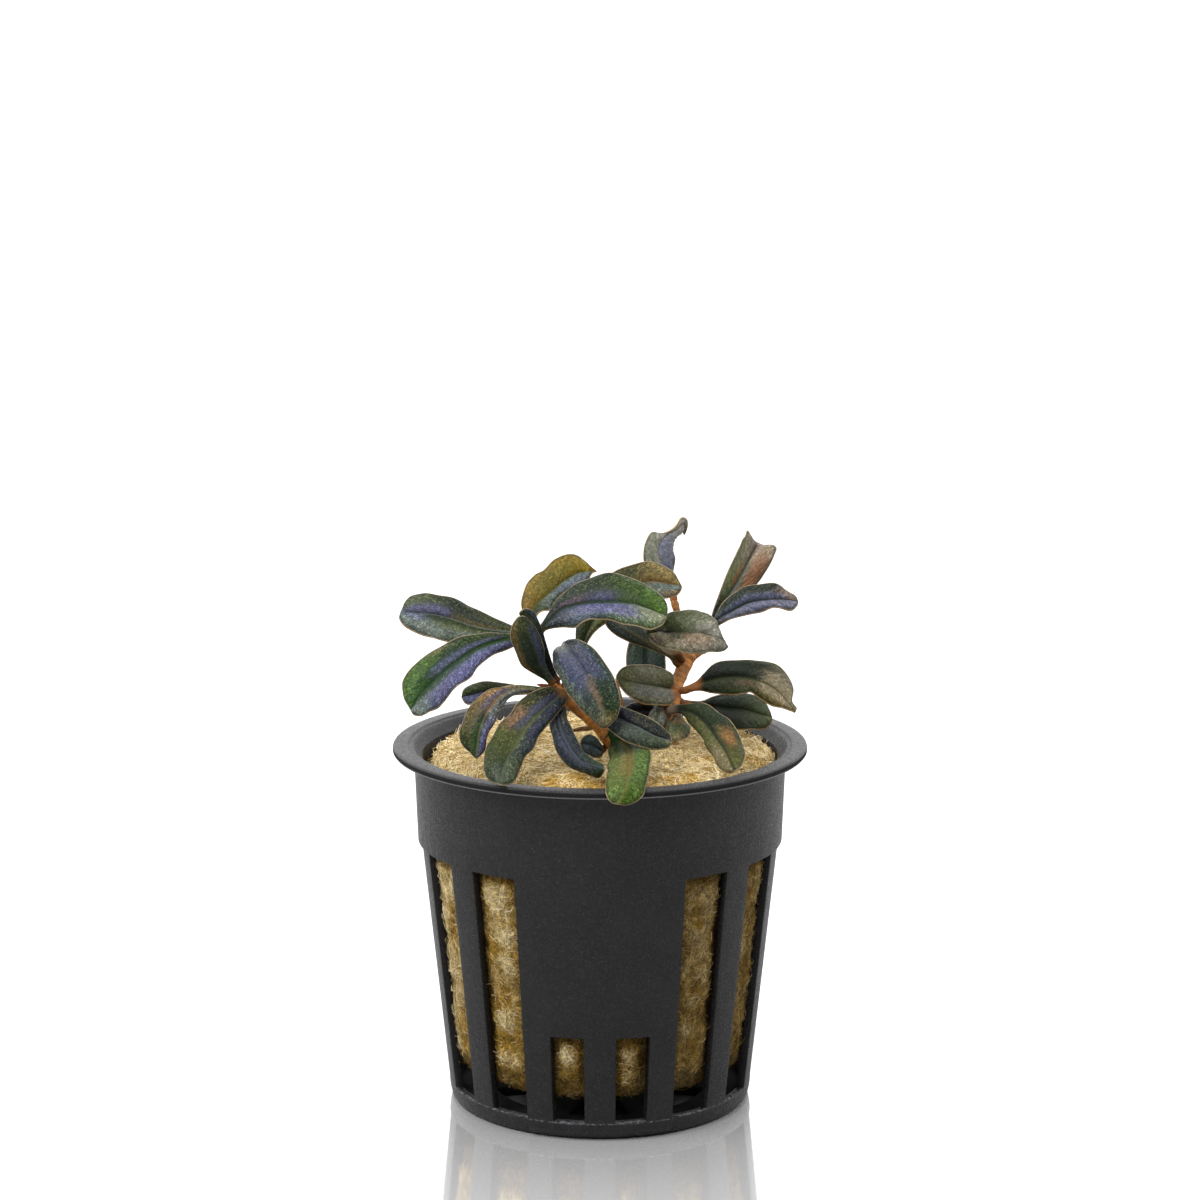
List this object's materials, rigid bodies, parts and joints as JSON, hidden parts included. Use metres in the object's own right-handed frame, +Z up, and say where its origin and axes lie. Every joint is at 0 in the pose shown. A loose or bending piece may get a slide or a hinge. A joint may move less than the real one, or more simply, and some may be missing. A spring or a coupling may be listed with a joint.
{
  "type": "bucephalandra in a net pot",
  "caption": "Aquarium plant with two rosettes of long wavy-edged leaves on creeping stems, rooted in a stone wool plug in a slotted black net pot.",
  "frame": {"origin": "middle of the flat underside of the pot, on the surface that it stands on", "axes": "+Z up, the flat front panel of the pot and the pictured side look along -Y, +X to the right of that view"},
  "size_m": [0.05, 0.0527, 0.0691],
  "materials": {
    "pot": "satin",
    "wool": "matte",
    "rhizome": "satin",
    "root": "satin",
    "bud": "satin",
    "leaf_green": "satin",
    "leaf_bright": "satin",
    "leaf_olive": "satin",
    "leaf_gold": "satin",
    "leaf_purple": "satin",
    "leaf_dark": "satin",
    "leaf_grey": "satin"
  },
  "bodies": {
    "root": {"arched_centre_leaf": "leaf_purple", "arching_left_leaf": "leaf_olive", "broad_top_leaf": "leaf_bright", "curled_top_leaf": "leaf_grey", "dark_back_leaf": "leaf_dark", "dark_hanging_leaf": "leaf_dark", "dark_shaded_leaf": "leaf_dark", "drooping_right_leaf": "leaf_olive", "folded_dark_leaf": "leaf_dark", "front_left_leaf": "leaf_green", "golden_leaf": "leaf_gold", "golden_stalk": "root", "green_front_leaf": "leaf_bright", "grey_underside_leaf": "leaf_grey", "large_right_leaf": "leaf_green", "left_rhizome": "rhizome", "left_stem": "rhizome", "long_left_leaf": "leaf_green", "low_centre_leaf": "leaf_purple", "low_right_leaf": "leaf_green", "net_pot": "pot", "olive_back_leaf": "leaf_olive", "oval_leaf": "leaf_grey", "pink_bud": "bud", "right_side_stem": "rhizome", "right_stem": "rhizome", "right_top_stalk": "rhizome", "round_shaded_leaf": "leaf_dark", "side_root": "root", "small_back_leaf": "leaf_olive", "small_grey_leaf": "leaf_grey", "small_pale_leaf": "leaf_grey", "stone_wool_plug": "wool", "tall_right_leaf": "leaf_olive", "upper_left_leaf": "leaf_purple", "upper_right_leaf": "leaf_green", "upright_back_leaf": "leaf_green", "wrinkled_leaf": "leaf_grey"}
  },
  "joints": []
}
